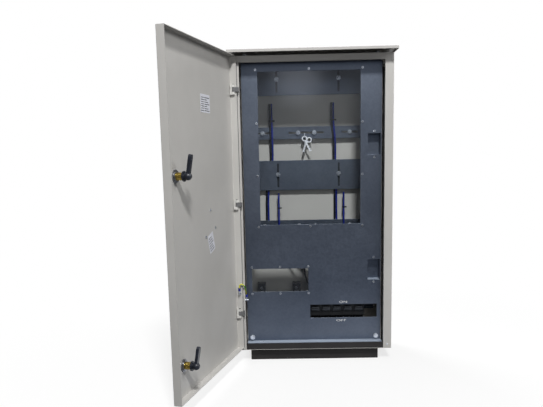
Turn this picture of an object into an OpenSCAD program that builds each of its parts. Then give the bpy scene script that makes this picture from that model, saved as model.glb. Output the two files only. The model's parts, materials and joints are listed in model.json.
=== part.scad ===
// Free-standing steel meter cabinet, shown with its door standing open.
// Millimetres, +Z up, front towards -Y. The origin is the middle of the plinth's underside.

/* [Body] */
// Width of the welded body
body_w = 500; // [480:1:560]
// Depth of the body behind its front frame
body_d = 220; // [215:1:280]
// Height of the body above the plinth
body_h = 930; // [910:1:1000]
// Sheet thickness of the body, roof, door and inner panel
sheet = 1.5; // [1.2:0.1:2]
// Outer radius of the folded upright edges
bend_r = 2.5; // [2.2:0.1:4]
// Width of the two upright flanges of the front frame
frame_side = 26.5; // [25:0.5:30]
// Height of the top flange of the front frame
frame_top = 19; // [16:0.5:24]
// Depth of the returns folded inwards round the opening
frame_return = 12; // [10:0.5:12.5]
// Width of the cable entry in the floor
cable_w = 300; // [200:1:320]
// Depth of the cable entry in the floor
cable_d = 90; // [60:1:94]

/* [Roof] */
// Air gap between the body and the roof
roof_rise = 11.5; // [9:0.5:16]
// Height of the lip round the roof
roof_lip = 8; // [6:0.5:9]
// Overhang of the roof at the front
roof_front = 40; // [35:1:60]
// Overhang of the roof at the sides
roof_side = 7; // [4:0.5:15]
// Overhang of the roof at the back
roof_back = 7; // [4:0.5:15]
// Distance of the roof studs from the body's edges
roof_stud_in = 45; // [35:1:60]

/* [Plinth] */
// Height of the plinth
plinth_h = 40; // [36:1:60]
// Distance of the plinth from the body's sides
plinth_side_in = 40; // [30:1:50]
// Distance of the plinth from the body's front and back
plinth_front_in = 22; // [15:1:24]
// Sheet thickness of the plinth
plinth_sheet = 2; // [1.5:0.5:3]
// Width of the plinth's bottom flange
plinth_foot = 38; // [34:1:40]
// Width of the plinth's top flange
plinth_cap = 22; // [20:1:26]
// Diameter of the four floor holes
floor_hole = 12; // [10:0.5:13]
// Distance of the floor holes from the plinth's edges
floor_hole_in = 26; // [24:1:28]

/* [Sill] */
// Height of the sill above the body's floor
sill_h = 18.5; // [16:0.5:24]
// Sheet thickness of the sill
sill_sheet = 2; // [1.5:0.5:2.5]

/* [Inner panel] */
// Distance of the panel's face behind the front frame
panel_set = 33.8; // [32:0.1:38]
// Gap between the panel and the frame's returns at each side
panel_gap = 4; // [3:0.5:6]
// Distance of the panel's top edge below the roof of the body
panel_drop = 8; // [6:0.5:12]
// Depth of the panel's folded edges
panel_return = 25; // [20:1:30]
// Reach of the panel's bottom lip towards the door
panel_lip = 29; // [24:0.5:30]
// Distance of the panel's corner bolts from its edges
corner_bolt_in = 15.5; // [14:0.5:18]
// Height of the panel's corner bolts above its bottom edge
corner_bolt_z = 13; // [12:0.5:18]

/* [Windows] */
// Strip of panel left of the main window
main_left = 50.8; // [48:0.1:60]
// Strip of panel right of the main window
main_right = 67.1; // [66:0.1:75]
// Strip of panel above the main window
main_above = 35.7; // [32:0.1:50]
// Height of the main window's lower edge above the panel's bottom edge
main_bottom = 387.5; // [370:0.5:400]
// Strip of panel left of the lower window
lower_left = 18.5; // [18:0.5:24]
// Width of the lower window
lower_w = 184; // [170:1:190]
// Height of the lower window
lower_h = 76.5; // [70:0.5:90]
// Height of the lower window's lower edge above the panel's bottom edge
lower_bottom = 167; // [160:0.5:175]
// Thickness of the clear acrylic
acrylic = 3; // [2:0.5:4]
// Overlap of the acrylic behind the panel
acrylic_lap = 12; // [11:0.5:14]
// Distance of the window screws from the window's edge
window_screw_out = 6; // [5.5:0.5:6.5]

/* [Grip pockets] */
// Width of a grip pocket
pocket_w = 39.5; // [34:0.5:40]
// Height of a grip pocket
pocket_h = 67; // [60:0.5:75]
// Depth of a grip pocket
pocket_d = 30; // [22:1:36]
// Sheet thickness of a grip pocket
pocket_sheet = 1.2; // [1:0.1:1.5]
// Strip of panel right of the pockets
pocket_right = 3.7; // [3.5:0.1:5]
// Height of the upper pocket's lower edge above the panel's bottom edge
pocket_high = 604.6; // [560:0.1:640]
// Height of the lower pocket's lower edge above the panel's bottom edge
pocket_low = 202.4; // [195:0.1:260]
// Distance of the pocket screws from the pocket's edge
pocket_screw_out = 7; // [6:0.5:8]

/* [Breakers] */
// Pitch of one module on the rail
module_w = 18; // [17.5:0.1:18]
// Height of the breaker slot
slot_h = 45; // [44:0.5:48]
// Strip of panel right of the breaker slot
slot_right = 12.7; // [11:0.1:16]
// Height of the slot's middle above the panel's bottom edge
slot_z = 98.6; // [92:0.1:104]
// Distance of the mounting rail behind the front frame
din_set = 133; // [128:0.5:140]
// Height of a breaker
breaker_h = 82; // [78:0.5:86]
// Depth of a breaker's shoulders from the mounting rail
breaker_d = 44; // [40:0.5:48]
// Depth of a breaker's nose from the mounting rail
nose_d = 68; // [64:0.5:70]
// Height of a breaker's nose
nose_h = 44.6; // [43:0.1:46]
// Radius of a toggle's drum
drum_r = 8; // [7:0.5:8]
// Angle of a toggle above the level when it is on
toggle_up = 30; // [20:1:32]

/* [Meter mounting] */
// Gap between the meter plates and the back wall
plate_off = 17; // [16:0.5:24]
// Thickness of the meter plates and rails
plate_t = 1.5; // [1.2:0.1:2]
// Distance of the plates' ends from the body's sides
plate_end = 33; // [28:0.5:36]
// Height of a hanger plate
hanger_h = 99; // [90:0.5:102]
// Height of a meter rail
rail_h = 40; // [34:0.5:44]
// Height of the lower rail's top edge above the main window's lower edge
rail_low = 3.5; // [2:0.5:8]
// Vertical pitch of the two meter rows
row_pitch = 311; // [300:0.5:314]
// Height of a hanger plate's bottom edge above its rail's top edge
hanger_up = 102; // [98:0.5:104]
// Width of the slots in plates and rails
slot_w = 6.5; // [6:0.1:7]
// Length of the hanger slots
hanger_slot = 80; // [60:1:84]
// Distance of the hanger slots from the main window's middle
hanger_x = 102; // [98:0.5:106]
// Distance of each meter's middle from the main window's middle
meter_x = 86; // [84:0.5:90]
// Distance between one meter's two lower screws
meter_screw = 118; // [112:0.5:120]
// Diameter of the meter screws
meter_screw_d = 5.6; // [5:0.1:5.8]
// Width of the two uprights that carry the plates
channel_w = 30; // [24:1:34]

/* [Bar supports] */
// Width of a bar support
support_w = 26; // [22:0.5:30]
// Height of a bar support
support_h = 46; // [40:0.5:50]
// Depth of a bar support
support_d = 53.5; // [48:0.5:60]
// Distance of the first support from the panel's left edge
support_first = 46; // [42:0.5:50]
// Distance between the two supports
support_pitch = 120; // [110:0.5:124]
// Height of the supports' lower end above the panel's bottom edge
support_z = 130; // [126:0.5:136]
// Height of the neutral bar
bar_h = 12; // [10:0.5:14]
// Thickness of the neutral bar
bar_t = 6; // [4:0.5:8]

/* [Door] */
// Distance of the door's upright edges from the body's sides
door_reveal = 3; // [2.5:0.1:4]
// Distance of the door's bottom edge above the body's bottom edge
door_low = 10; // [8:0.5:14]
// Distance of the door's top edge below the body's top edge
door_drop = 1; // [1:0.5:4]
// Depth of the door from its face to the edge of its flanges
door_depth = 22; // [21.5:0.1:22.5]
// Gap between the closed door's flanges and the front frame
door_gap = 3.5; // [3.4:0.1:4]
// Angle of the open door, from closed
door_open = 105; // [90:1:105]
// Distance of the hinge axis from the door's upright edge
hinge_in = 6.5; // [6.4:0.1:6.6]
// Distance of the hinge axis before the front frame
hinge_out = 12; // [12:0.1:12.4]
// Height of a hinge
hinge_h = 30; // [26:0.5:36]
// Radius of a hinge's knuckles
knuckle_r = 3.5; // [3.3:0.1:3.6]
// Radius of a hinge pin
pin_r = 2; // [1.8:0.1:2.2]
// Height of the lowest hinge above the door's bottom edge
hinge_low = 117; // [100:1:140]
// Distance of the highest hinge below the door's top edge
hinge_high = 99; // [80:1:130]
// Width of the rubber strip beside the hinges
seal_w = 4.8; // [3:0.1:5]
// Thickness of the rubber strip
seal_t = 2; // [1.5:0.1:2.2]

/* [Locks] */
// Distance of the locks from the door's free edge
lock_in = 66; // [64:0.5:68]
// Height of the upper lock above the door's bottom edge
lock_high = 572; // [540:1:600]
// Height of the lower lock above the door's bottom edge
lock_low = 85; // [80:1:110]
// Radius of a lock's bush
bush_r = 10; // [9:0.5:11]
// Reach of a lock's bush behind the door's face
bush_reach = 22; // [20:0.5:23]
// Radius of a lock's nut
nut_r = 17; // [15:0.5:19]
// Radius of a lock's spindle
spindle_r = 5; // [4:0.5:6]
// Length of a lock's lever from axis to tip
lever_l = 54; // [52:0.5:56]
// Width of a lock's lever
lever_w = 13; // [11:0.5:14]
// Angle of a lever away from the door
lever_tilt = 10; // [9:0.5:11]

/* [Earthing] */
// Height of the door's earth stud above the door's bottom edge
earth_door_z = 182; // [175:1:190]
// Distance of the body's earth stud below the door's earth stud
earth_drop = 24; // [18:0.5:26]
// Diameter of the earth wire
earth_d = 4.4; // [3.6:0.1:4.6]

/* [Clearances] */
// Gap between pieces that turn past each other
turn_gap = 0.3; // [0.3:0.05:0.4]
// Radial play of a pin in its bore
pin_play = 0.05; // [0.03:0.01:0.08]
// Radial play of a fastener in its hole
hole_play = 0.2; // [0.1:0.05:0.3]

/* [View] */
// Piece to draw

/* [Hidden] */
$fn = 48;
paint = "#b4b2ab";
dark = "#2b292b";
zinc = "#8e9cad";
steel = "#c4c8cc";

// Planes of the body
front = -body_d / 2;
wall_x = body_w / 2 - sheet;
wall_y = body_d / 2 - sheet;
floor_z = plinth_h + sheet;
body_top = plinth_h + body_h;
open_x = body_w / 2 - frame_side;
open_top = body_top - frame_top;

// Roof
roof_under = body_top + roof_rise;
roof_w = body_w + 2 * roof_side;
roof_d = body_d + roof_front + roof_back;
roof_y = (roof_back - roof_front) / 2;
stud_x = body_w / 2 - roof_stud_in;
stud_y = body_d / 2 - roof_stud_in;
stud_r = 3;

// Plinth
plinth_w = body_w - 2 * plinth_side_in;
plinth_d = body_d - 2 * plinth_front_in;
floor_hole_x = plinth_w / 2 - floor_hole_in;
floor_hole_y = plinth_d / 2 - floor_hole_in;

// Inner panel
panel_x = open_x - panel_gap;
panel_y = front + panel_set;
panel_back = panel_y + sheet;
panel_z = floor_z + sill_h;
panel_top = body_top - panel_drop;
bolt_x = panel_x - corner_bolt_in;
bolt_z = panel_z + corner_bolt_z;
bolt_r = 4;
foot_t = 3;
foot_h = 30;

// Windows, as [left, right, bottom, top]
main_win = [-panel_x + main_left, panel_x - main_right, panel_z + main_bottom, panel_top - main_above];
lower_win = [-panel_x + lower_left, -panel_x + lower_left + lower_w,
             panel_z + lower_bottom, panel_z + lower_bottom + lower_h];
main_mid = (main_win[0] + main_win[1]) / 2;
main_screws = let (o = window_screw_out, h = (main_win[3] - main_win[2] + 2 * o) / 3)
    [for (x = [main_win[0] - o, main_mid, main_win[1] + o], k = [0:3])
     if (x != main_mid || k == 0 || k == 3) [x, main_win[2] - o + k * h]];
lower_screws = let (o = window_screw_out)
    [for (x = [lower_win[0], (lower_win[0] + lower_win[1]) / 2, lower_win[1]],
          z = [lower_win[2] - o, lower_win[3] + o]) [x, z]];
screw_r = 2.4;
screw_head_r = 3.7;

// Grip pockets
pocket_x = panel_x - pocket_right - pocket_w;
pocket_zs = [panel_z + pocket_high, panel_z + pocket_low];
pocket_screws = [for (z = pocket_zs, k = [-pocket_screw_out, pocket_h + pocket_screw_out])
                 [pocket_x + pocket_w / 2, z + k]];
pocket_lap = pocket_screw_out + 7;

// Breakers; the slot has room for twelve modules
slot_modules = 12;
slot_x = panel_x - slot_right - slot_len();
din_y = front + din_set;
din_z = panel_z + slot_z;
din_h = 35;
din_deep = 7.5;
din_t = 1;
drum_d = nose_d - drum_r / 2;
drum_w = 26;
paddle_l = 18;
paddle_w = 22;
paddle_t = 5;
terminal_d = 25;
terminal_r = 3.4;

// Meter mounting
plate_y = wall_y - plate_off - plate_t;
plate_x = body_w / 2 - plate_end;
rail_zs = [main_win[2] + rail_low + row_pitch - rail_h, main_win[2] + rail_low - rail_h];
hanger_zs = [for (z = rail_zs) z + rail_h + hanger_up];
meter_xs = [for (m = [-meter_x, meter_x], s = [-meter_screw / 2, meter_screw / 2]) main_mid - 6 + m + s];
hanger_xs = [main_mid - hanger_x, main_mid + hanger_x];
rail_mid = rail_h / 2;

// Bar supports
support_xs = [-panel_x + support_first, -panel_x + support_first + support_pitch];
support_bottom = panel_z + support_z;
support_y = wall_y - support_d;
bar_z = support_bottom + 6;

// Door in its closed place; on_door() swings it open
door_x = body_w / 2 - door_reveal;
door_z = plinth_h + door_low;
door_h = body_h - door_low - door_drop;
lip_y = front - door_gap;
face_y = lip_y - door_depth;
skin_y = face_y + sheet;
axis_x = -door_x + hinge_in;
axis_y = front - hinge_out;
hinge_zs = [door_z + door_h - hinge_high, door_z + (door_h - hinge_high + hinge_low) / 2, door_z + hinge_low];
knuckle_z = hinge_h * 4 / 15;
arm_t = 4;
leg_x = [axis_x + 11, axis_x + 16];
leaf_t = 1.2;
seal_x = leg_x[0] - turn_gap - seal_w;
lock_x = door_x - lock_in;
lock_zs = [door_z + lock_high, door_z + lock_low];
bush_end = skin_y + bush_reach;
collar_t = 6;
lever_t = 8;
lever_y = bush_end + turn_gap + collar_t + 7;
recess_d = 5;

// Earthing
earth_z = door_z + earth_door_z;
body_earth_z = earth_z - earth_drop;
body_earth_y = front + frame_return / 2;
ferrule_r = earth_d / 2 + 1.1;
body_ferrule_x = -open_x + 4.5;

// Route of the earth wire, from the lug on the door to the lug on the body
earth_route = [
    [axis_x, axis_y, earth_z + 12], [axis_x, axis_y, earth_z + 25], [axis_x + 5, axis_y - 5, earth_z + 33],
    [axis_x + 14, axis_y - 3, earth_z + 29], [body_ferrule_x, body_earth_y, body_earth_z + 34],
    [body_ferrule_x, body_earth_y, body_earth_z + 12]];

// Routes of the meter leads, from the free end down to the breaker; each pair parts below the panel's window
lead_r = 3;
lead_front = plate_y - lead_r - 0.5;
lead_back = wall_y - 8.5;
lead_top = din_z + breaker_h / 2;
lead_y = din_y - terminal_d;
function breaker_x(k) = slot_x + 1 + module_w * (2 * k + 1);
function slot_len() = slot_modules * module_w + 2.6;
// Hook for the keys in the upper rail's long slot
hook_r = 1.2;
hook_drop = 13;
hook_x = (meter_xs[1] + meter_xs[2]) / 2 - 6;
hook_z = rail_zs[0] + rail_mid - slot_w / 2 + hook_r;
key_hole = 5.6;
key_z = hook_z - hook_drop + hook_r - key_hole + pin_play;

// Columns of the leads, measured from the inner edges of the two channels
half_pole = module_w / 2;
half_pair = lead_r + 0.2;
channel_in = plate_x - channel_w;
upper_xs = [56 - channel_in, channel_in - 114];
upper_shifts = [[1, -17], [7, 10]];
lower_xs = [77.5 - channel_in, channel_in - 77.5];
// The leads cross to their breakers behind the panel, above the lower window
cross_z = lower_win[3] + 25;
// The last stretch of a lead, from the crossing down into the terminal at b; hang is its side step on the way and
// deep is how far behind the terminal it crosses
function down_to(b, hang, deep) = [
    [b + hang, lead_y + deep, cross_z], [b + hang, lead_y, lead_top + 60],
    [b, lead_y, lead_top + 24], [b, lead_y, lead_top - 10]];
// Each function takes the column, the side of its pair, -1 or 1, and the breaker
function upper_route(column, side, breaker) = let (
    x = upper_xs[column] + side * half_pair, mid = x + upper_shifts[column][0], low = x + upper_shifts[column][1],
    hang = column == 0 && side < 0 ? -26 : 3 * side) concat([
    [x, lead_front, rail_zs[0] + rail_h + 76], [x, lead_front, rail_zs[0] + rail_h + 10],
    [mid, lead_front, rail_zs[0] - 14], [mid, lead_back, hanger_zs[1] + hanger_h - 6],
    [low, lead_back, hanger_zs[1] + 10], [low, lead_back, main_win[2] - 30],
    [low + 6 * side, lead_back - 6, main_win[2] - 52]], down_to(breaker_x(breaker) + side * half_pole, hang, 20));
function lower_route(column, side, breaker) = let (
    x = lower_xs[column], y = lead_front - (side + 1) * half_pair) concat([
    [x, y, rail_zs[1] + rail_h + 92], [x, y, rail_zs[1] + rail_h + 10], [x, y, rail_zs[1] - 10],
    [x + 9 * side, y - 18, main_win[2] - 62]], down_to(breaker_x(breaker) + side * half_pole, 3 * side, 6));
black_routes = [upper_route(0, -1, 0), upper_route(1, -1, 2), lower_route(0, -1, 1), lower_route(1, -1, 3)];
blue_routes = [upper_route(0, 1, 0), upper_route(1, 1, 2), lower_route(0, 1, 1), lower_route(1, 1, 3)];

// Rectangle with true round corners
module rounded_plan(w, d, r) {
    square([w - 2 * r, d], center = true);
    square([w, d - 2 * r], center = true);
    for (x = [-1, 1], y = [-1, 1])
        translate([x * (w / 2 - r), y * (d / 2 - r)]) circle(r);
}

// Box from its lowest corner to its highest corner
module span(low, high) {
    translate(low) cube(high - low);
}

// Cylinder along Y from y0 to y1
module bar_y(x, z, r, y0, y1, sides = $fn) {
    translate([x, y0, z]) rotate([-90, 0, 0]) cylinder(r = r, h = y1 - y0, $fn = sides);
}

// Cylinder along X from x0 to x1
module bar_x(y, z, r, x0, x1, sides = $fn) {
    translate([x0, y, z]) rotate([0, 90, 0]) cylinder(r = r, h = x1 - x0, $fn = sides);
}

// Slot through a plate that faces the front: its middle, its length along X or Z
module slot_cut(x, z, len_x, len_z, w) {
    dx = max(len_x - w, 0) / 2;
    dz = max(len_z - w, 0) / 2;
    bar_y(x - dx, z - dz, w / 2, plate_y - 1, plate_y + plate_t + 1);
    bar_y(x + dx, z + dz, w / 2, plate_y - 1, plate_y + plate_t + 1);
    span([x - dx - (dx == 0 ? w / 2 : 0), plate_y - 1, z - dz - (dz == 0 ? w / 2 : 0)],
         [x + dx + (dx == 0 ? w / 2 : 0), plate_y + plate_t + 1, z + dz + (dz == 0 ? w / 2 : 0)]);
}

// Tube along a list of points
function unit(v) = v / norm(v);
function heading(p, i) = unit(p[min(i + 1, len(p) - 1)] - p[max(i - 1, 0)]);
function cut_corners(p) = [
    p[0], for (i = [0:len(p) - 2]) each [p[i] * 0.75 + p[i + 1] * 0.25, p[i] * 0.25 + p[i + 1] * 0.75],
    p[len(p) - 1]];
module tube(p, r, across, sides = 8) {
    rings = [for (i = [0:len(p) - 1])
        let (t = heading(p, i), u = unit(cross(t, across)), v = cross(t, u))
        for (k = [0:sides - 1]) p[i] + r * (cos(360 * k / sides) * u + sin(360 * k / sides) * v)];
    last = (len(p) - 1) * sides;
    sides_of = [for (i = [0:len(p) - 2], k = [0:sides - 1])
        let (a = i * sides + k, b = i * sides + (k + 1) % sides)
        each [[a, a + sides, b + sides], [a, b + sides, b]]];
    polyhedron(rings, concat(sides_of, [[for (k = [0:sides - 1]) k]],
                             [[for (k = [0:sides - 1]) last + sides - 1 - k]]));
}

module cabinet_body() {
    inner_h = body_h - 2 * sheet;
    color(paint) {
        difference() {
            translate([0, 0, plinth_h]) linear_extrude(body_h) rounded_plan(body_w, body_d, bend_r);
            translate([0, 0, floor_z]) linear_extrude(inner_h)
                rounded_plan(body_w - 2 * sheet, body_d - 2 * sheet, bend_r - sheet);
            span([-open_x, front - 1, floor_z], [open_x, front + sheet + 1, open_top]);
            span([-cable_w / 2, -cable_d / 2, plinth_h - 1], [cable_w / 2, cable_d / 2, floor_z + 1]);
            for (x = [-1, 1], y = [-1, 1])
                translate([x * stud_x, y * stud_y, body_top - sheet - 1])
                    cylinder(r = stud_r + hole_play, h = sheet + 2);
        }
        for (x = [-open_x - sheet, open_x])
            span([x, front, floor_z], [x + sheet, front + frame_return, open_top + sheet]);
        span([-open_x, front, open_top], [open_x, front + frame_return, open_top + sheet]);
    }
}

module rain_roof() {
    color(paint) difference() {
        translate([0, roof_y, roof_under + sheet - roof_lip]) linear_extrude(roof_lip)
            rounded_plan(roof_w, roof_d, bend_r);
        translate([0, roof_y, roof_under - roof_lip]) linear_extrude(roof_lip)
            rounded_plan(roof_w - 2 * sheet, roof_d - 2 * sheet, bend_r - sheet);
        for (x = [-1, 1], y = [-1, 1])
            translate([x * stud_x, y * stud_y, roof_under - 1]) cylinder(r = stud_r + hole_play, h = sheet + 2);
    }
}

module roof_studs() {
    nut_h = 5;
    color(steel) for (x = [-1, 1], y = [-1, 1]) translate([x * stud_x, y * stud_y, 0]) {
        translate([0, 0, body_top - sheet - nut_h]) cylinder(r = stud_r, h = roof_rise + 2 * sheet + 2 * nut_h);
        translate([0, 0, body_top]) cylinder(r = 7, h = roof_rise);
        translate([0, 0, roof_under + sheet]) cylinder(r = 7, h = 1.5);
        translate([0, 0, roof_under + sheet + 1.5]) cylinder(r = 5.8, h = nut_h - 1.5, $fn = 6);
        translate([0, 0, body_top - sheet - nut_h]) cylinder(r = 5.8, h = nut_h, $fn = 6);
    }
}

module plinth() {
    inner_h = plinth_h - 2 * plinth_sheet;
    color(dark) difference() {
        linear_extrude(plinth_h) rounded_plan(plinth_w, plinth_d, plinth_sheet + 1);
        translate([0, 0, plinth_sheet]) linear_extrude(inner_h)
            rounded_plan(plinth_w - 2 * plinth_sheet, plinth_d - 2 * plinth_sheet, 1);
        translate([0, 0, -1]) linear_extrude(plinth_h / 2)
            square([plinth_w - 2 * plinth_foot, plinth_d - 2 * plinth_foot], center = true);
        translate([0, 0, plinth_h / 2]) linear_extrude(plinth_h)
            square([plinth_w - 2 * plinth_cap, plinth_d - 2 * plinth_cap], center = true);
        for (x = [-1, 1], y = [-1, 1])
            translate([x * floor_hole_x, y * floor_hole_y, -1]) cylinder(d = floor_hole, h = plinth_sheet + 2);
    }
}

module sill_plate() {
    half = open_x - 0.5;
    deep = front + frame_return;
    color(dark) {
        span([-half, front, floor_z], [half, front + sill_sheet, panel_z]);
        span([-half, front, panel_z - sill_sheet], [half, deep, panel_z]);
        span([-half, front, floor_z], [half, deep, floor_z + sill_sheet]);
    }
}

// Upright on the right-hand side wall: web, rear flange, wall flange and the foot for the corner bolt
module panel_post() {
    web_y = panel_back + 5;
    rear_y = panel_back + panel_return + 40;
    low = panel_z + 2;
    high = panel_top - 20;
    difference() {
        union() {
            span([panel_x, web_y, low], [panel_x + sheet, rear_y, high]);
            span([panel_x, rear_y - sheet, low], [wall_x, rear_y, high]);
            span([wall_x - sheet, rear_y - sheet, low], [wall_x, rear_y + 18, high]);
            span([panel_x, panel_back, low], [panel_x + sheet, web_y + 1, low + foot_h]);
            span([bolt_x - 10, panel_back, low], [panel_x + sheet, panel_back + foot_t, low + foot_h]);
        }
        bar_y(bolt_x, bolt_z, bolt_r + hole_play, panel_back - 1, panel_back + foot_t + 1);
    }
}

module panel_post_left() {
    color(paint) mirror([1, 0, 0]) panel_post();
}

module panel_post_right() {
    color(paint) panel_post();
}

module meter_panel() {
    fold_low = panel_z + foot_h + 6;
    color(zinc) difference() {
        union() {
            span([-panel_x, panel_y, panel_z], [panel_x, panel_back, panel_top]);
            for (x = [-panel_x, panel_x - sheet])
                span([x, panel_y, fold_low], [x + sheet, panel_y + panel_return, panel_top]);
            span([-panel_x, panel_y, panel_top - sheet], [panel_x, panel_y + panel_return, panel_top]);
            span([-panel_x, panel_y - panel_lip, panel_z], [panel_x, panel_back, panel_z + sheet]);
        }
        for (w = [main_win, lower_win])
            span([w[0], panel_y - 1, w[2]], [w[1], panel_back + 1, w[3]]);
        for (z = pocket_zs)
            span([pocket_x, panel_y - 1, z], [pocket_x + pocket_w, panel_back + 1, z + pocket_h]);
        span([slot_x, panel_y - 1, din_z - slot_h / 2], [slot_x + slot_len(), panel_back + 1, din_z + slot_h / 2]);
        for (s = concat(main_screws, lower_screws, pocket_screws))
            bar_y(s[0], s[1], screw_r + hole_play, panel_y - 1, panel_back + 1);
        for (x = [-bolt_x, bolt_x])
            bar_y(x, bolt_z, bolt_r + hole_play, panel_y - 1, panel_back + 1);
    }
}

module panel_bolts() {
    color(steel) for (x = [-bolt_x, bolt_x]) {
        bar_y(x, bolt_z, bolt_r, panel_y - 2, panel_back + foot_t + 8);
        bar_y(x, bolt_z, 8, panel_y - 1.6, panel_y);
        bar_y(x, bolt_z, 7.5, panel_y - 7, panel_y - 1.6, 6);
        bar_y(x, bolt_z, 7.5, panel_back + foot_t, panel_back + foot_t + 6.5, 6);
    }
}

// Acrylic sheet behind a window, drilled for its screws
module pane(w, screws) {
    difference() {
        span([w[0] - acrylic_lap, panel_back, w[2] - acrylic_lap],
             [w[1] + acrylic_lap, panel_back + acrylic, w[3] + acrylic_lap]);
        for (s = screws)
            bar_y(s[0], s[1], screw_r + hole_play, panel_back - 1, panel_back + acrylic + 1);
    }
}

module main_window() {
    color("#dfe8ee", 0.35) pane(main_win, main_screws);
}

module lower_window() {
    color("#dfe8ee", 0.35) pane(lower_win, lower_screws);
}

// Pan-head screw through the panel and a sheet behind it, with its nut
module panel_screw(s, behind) {
    nut_h = 3.5;
    end = panel_back + behind;
    bar_y(s[0], s[1], screw_r, panel_y - 1, end + nut_h + 2);
    difference() {
        bar_y(s[0], s[1], screw_head_r, panel_y - 2.6, panel_y);
        span([s[0] - 3.4, panel_y - 3, s[1] - 0.5], [s[0] + 3.4, panel_y - 1.4, s[1] + 0.5]);
        span([s[0] - 0.5, panel_y - 3, s[1] - 3.4], [s[0] + 0.5, panel_y - 1.4, s[1] + 3.4]);
    }
    bar_y(s[0], s[1], screw_head_r, end, end + nut_h, 6);
}

module panel_screws() {
    color(steel) {
        for (s = concat(main_screws, lower_screws)) panel_screw(s, acrylic);
        for (s = pocket_screws) panel_screw(s, pocket_sheet);
    }
}

// Folded grip pocket behind the panel, its inside flush with the panel's cut-out
module pocket(z) {
    t = pocket_sheet;
    deep = panel_back + pocket_d;
    color(zinc) difference() {
        union() {
            span([pocket_x - 4, panel_back, z - pocket_lap],
                 [pocket_x + pocket_w + t, panel_back + t, z + pocket_h + pocket_lap]);
            span([pocket_x - t, panel_back, z - t], [pocket_x + pocket_w + t, deep, z + pocket_h + t]);
        }
        span([pocket_x, panel_back - 1, z], [pocket_x + pocket_w, deep - t, z + pocket_h]);
        for (k = [-pocket_screw_out, pocket_h + pocket_screw_out])
            bar_y(pocket_x + pocket_w / 2, z + k, screw_r + hole_play, panel_back - 1, panel_back + t + 1);
    }
}

module pocket_upper() {
    pocket(pocket_zs[0]);
}

module pocket_lower() {
    pocket(pocket_zs[1]);
}

module hanger_plate(z) {
    color(zinc) difference() {
        span([-plate_x, plate_y, z], [plate_x, plate_y + plate_t, z + hanger_h]);
        for (x = hanger_xs) slot_cut(x, z + hanger_h / 2, slot_w, hanger_slot, slot_w);
    }
}

module upper_hanger_plate() {
    hanger_plate(hanger_zs[0]);
}

module lower_hanger_plate() {
    hanger_plate(hanger_zs[1]);
}

// Rail with three long slots: one under both inner screws and one under each outer screw
module meter_rail(z) {
    inner = meter_xs[2] - meter_xs[1];
    color(zinc) difference() {
        span([-plate_x, plate_y, z], [plate_x, plate_y + plate_t, z + rail_h]);
        slot_cut((meter_xs[1] + meter_xs[2]) / 2, z + rail_mid, inner + 64, slot_w, slot_w);
        for (x = [meter_xs[0], meter_xs[3]]) slot_cut(x, z + rail_mid, 54, slot_w, slot_w);
    }
}

module upper_meter_rail() {
    meter_rail(rail_zs[0]);
}

module lower_meter_rail() {
    meter_rail(rail_zs[1]);
}

// Upright channel between the back wall and the meter plates, its open side to the wall
module meter_channel() {
    x = plate_x - channel_w;
    y = plate_y + plate_t;
    low = rail_zs[1];
    high = hanger_zs[0] + hanger_h;
    difference() {
        span([x, y, low], [x + channel_w, wall_y, high]);
        span([x + sheet, y + sheet, low - 1], [x + channel_w - sheet, wall_y + 1, high + 1]);
    }
}

module meter_channel_left() {
    color(zinc) mirror([1, 0, 0]) meter_channel();
}

module meter_channel_right() {
    color(zinc) meter_channel();
}

// Screw left standing out of a slot, with a washer and a nut
module meter_screw(x, z) {
    y = plate_y;
    bar_y(x, z, meter_screw_d / 2, y - 8, y + plate_t + 7);
    bar_y(x, z, 7.5, y - 1.2, y);
    bar_y(x, z, 5.2, y - 9.5, y - 6);
    bar_y(x, z, 5.5, y + plate_t, y + plate_t + 4.5, 6);
}

module meter_screws() {
    color(steel) {
        for (z = hanger_zs, x = hanger_xs) meter_screw(x, z + hanger_h * 0.53);
        for (z = rail_zs, x = meter_xs) meter_screw(x, z + rail_mid);
    }
}

// Top-hat mounting rail
module din_rail() {
    h = din_h / 2;
    inner = 13.5;
    t = din_t;
    d = din_deep;
    profile = [[t, h], [0, h], [0, inner - t], [d - t, inner - t], [d - t, t - inner], [0, t - inner], [0, -h],
               [t, -h], [t, -inner], [d, -inner], [d, inner], [t, inner]];
    color(steel) translate([slot_x - 12, din_y, din_z]) rotate([90, 0, 90])
        linear_extrude(slot_len() + 16) polygon(profile);
}

module din_brackets() {
    y = din_y + din_deep;
    t = 2;
    color(zinc) for (x = [slot_x + 8, slot_x + slot_len() - 30]) {
        span([x, y, din_z - 12], [x + 22, y + t, din_z + 12]);
        span([x, y, din_z - 12], [x + t, wall_y, din_z + 12]);
        span([x, wall_y - t, din_z - 12], [x + 22, wall_y, din_z + 12]);
    }
}

// Two-module breaker clipped on the mounting rail; its outline runs from the rail to the nose
module breaker(k) {
    w = 2 * module_w - 0.4;
    hook = 5;
    seat = din_h / 2 + hole_play;
    h = breaker_h / 2;
    n = nose_h / 2;
    outline = [[hook, -h], [-breaker_d, -h], [-breaker_d, -n], [-nose_d, -n], [-nose_d, n], [-breaker_d, n],
               [-breaker_d, h], [hook, h], [hook, seat], [0, seat], [0, -seat], [hook, -seat]];
    color("#8a8c90") translate([breaker_x(k), din_y, din_z]) difference() {
        translate([-w / 2, 0, 0]) rotate([90, 0, 90]) linear_extrude(w) polygon(outline);
        bar_x(-drum_d, 0, drum_r + turn_gap, -drum_w / 2 - turn_gap, drum_w / 2 + turn_gap);
        for (x = [-half_pole, half_pole], z = [-1, 1]) {
            translate([x, -terminal_d, z * (h - 5)]) cylinder(r = terminal_r, h = 14, center = true);
            bar_y(x, z * (h + n) / 2, 3, -breaker_d - 1, -breaker_d + 8);
        }
    }
}

module breaker_1() {
    breaker(0);
}

module breaker_2() {
    breaker(1);
}

module breaker_3() {
    breaker(2);
}

module breaker_4() {
    breaker(3);
}

module breaker_5() {
    breaker(4);
}

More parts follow.
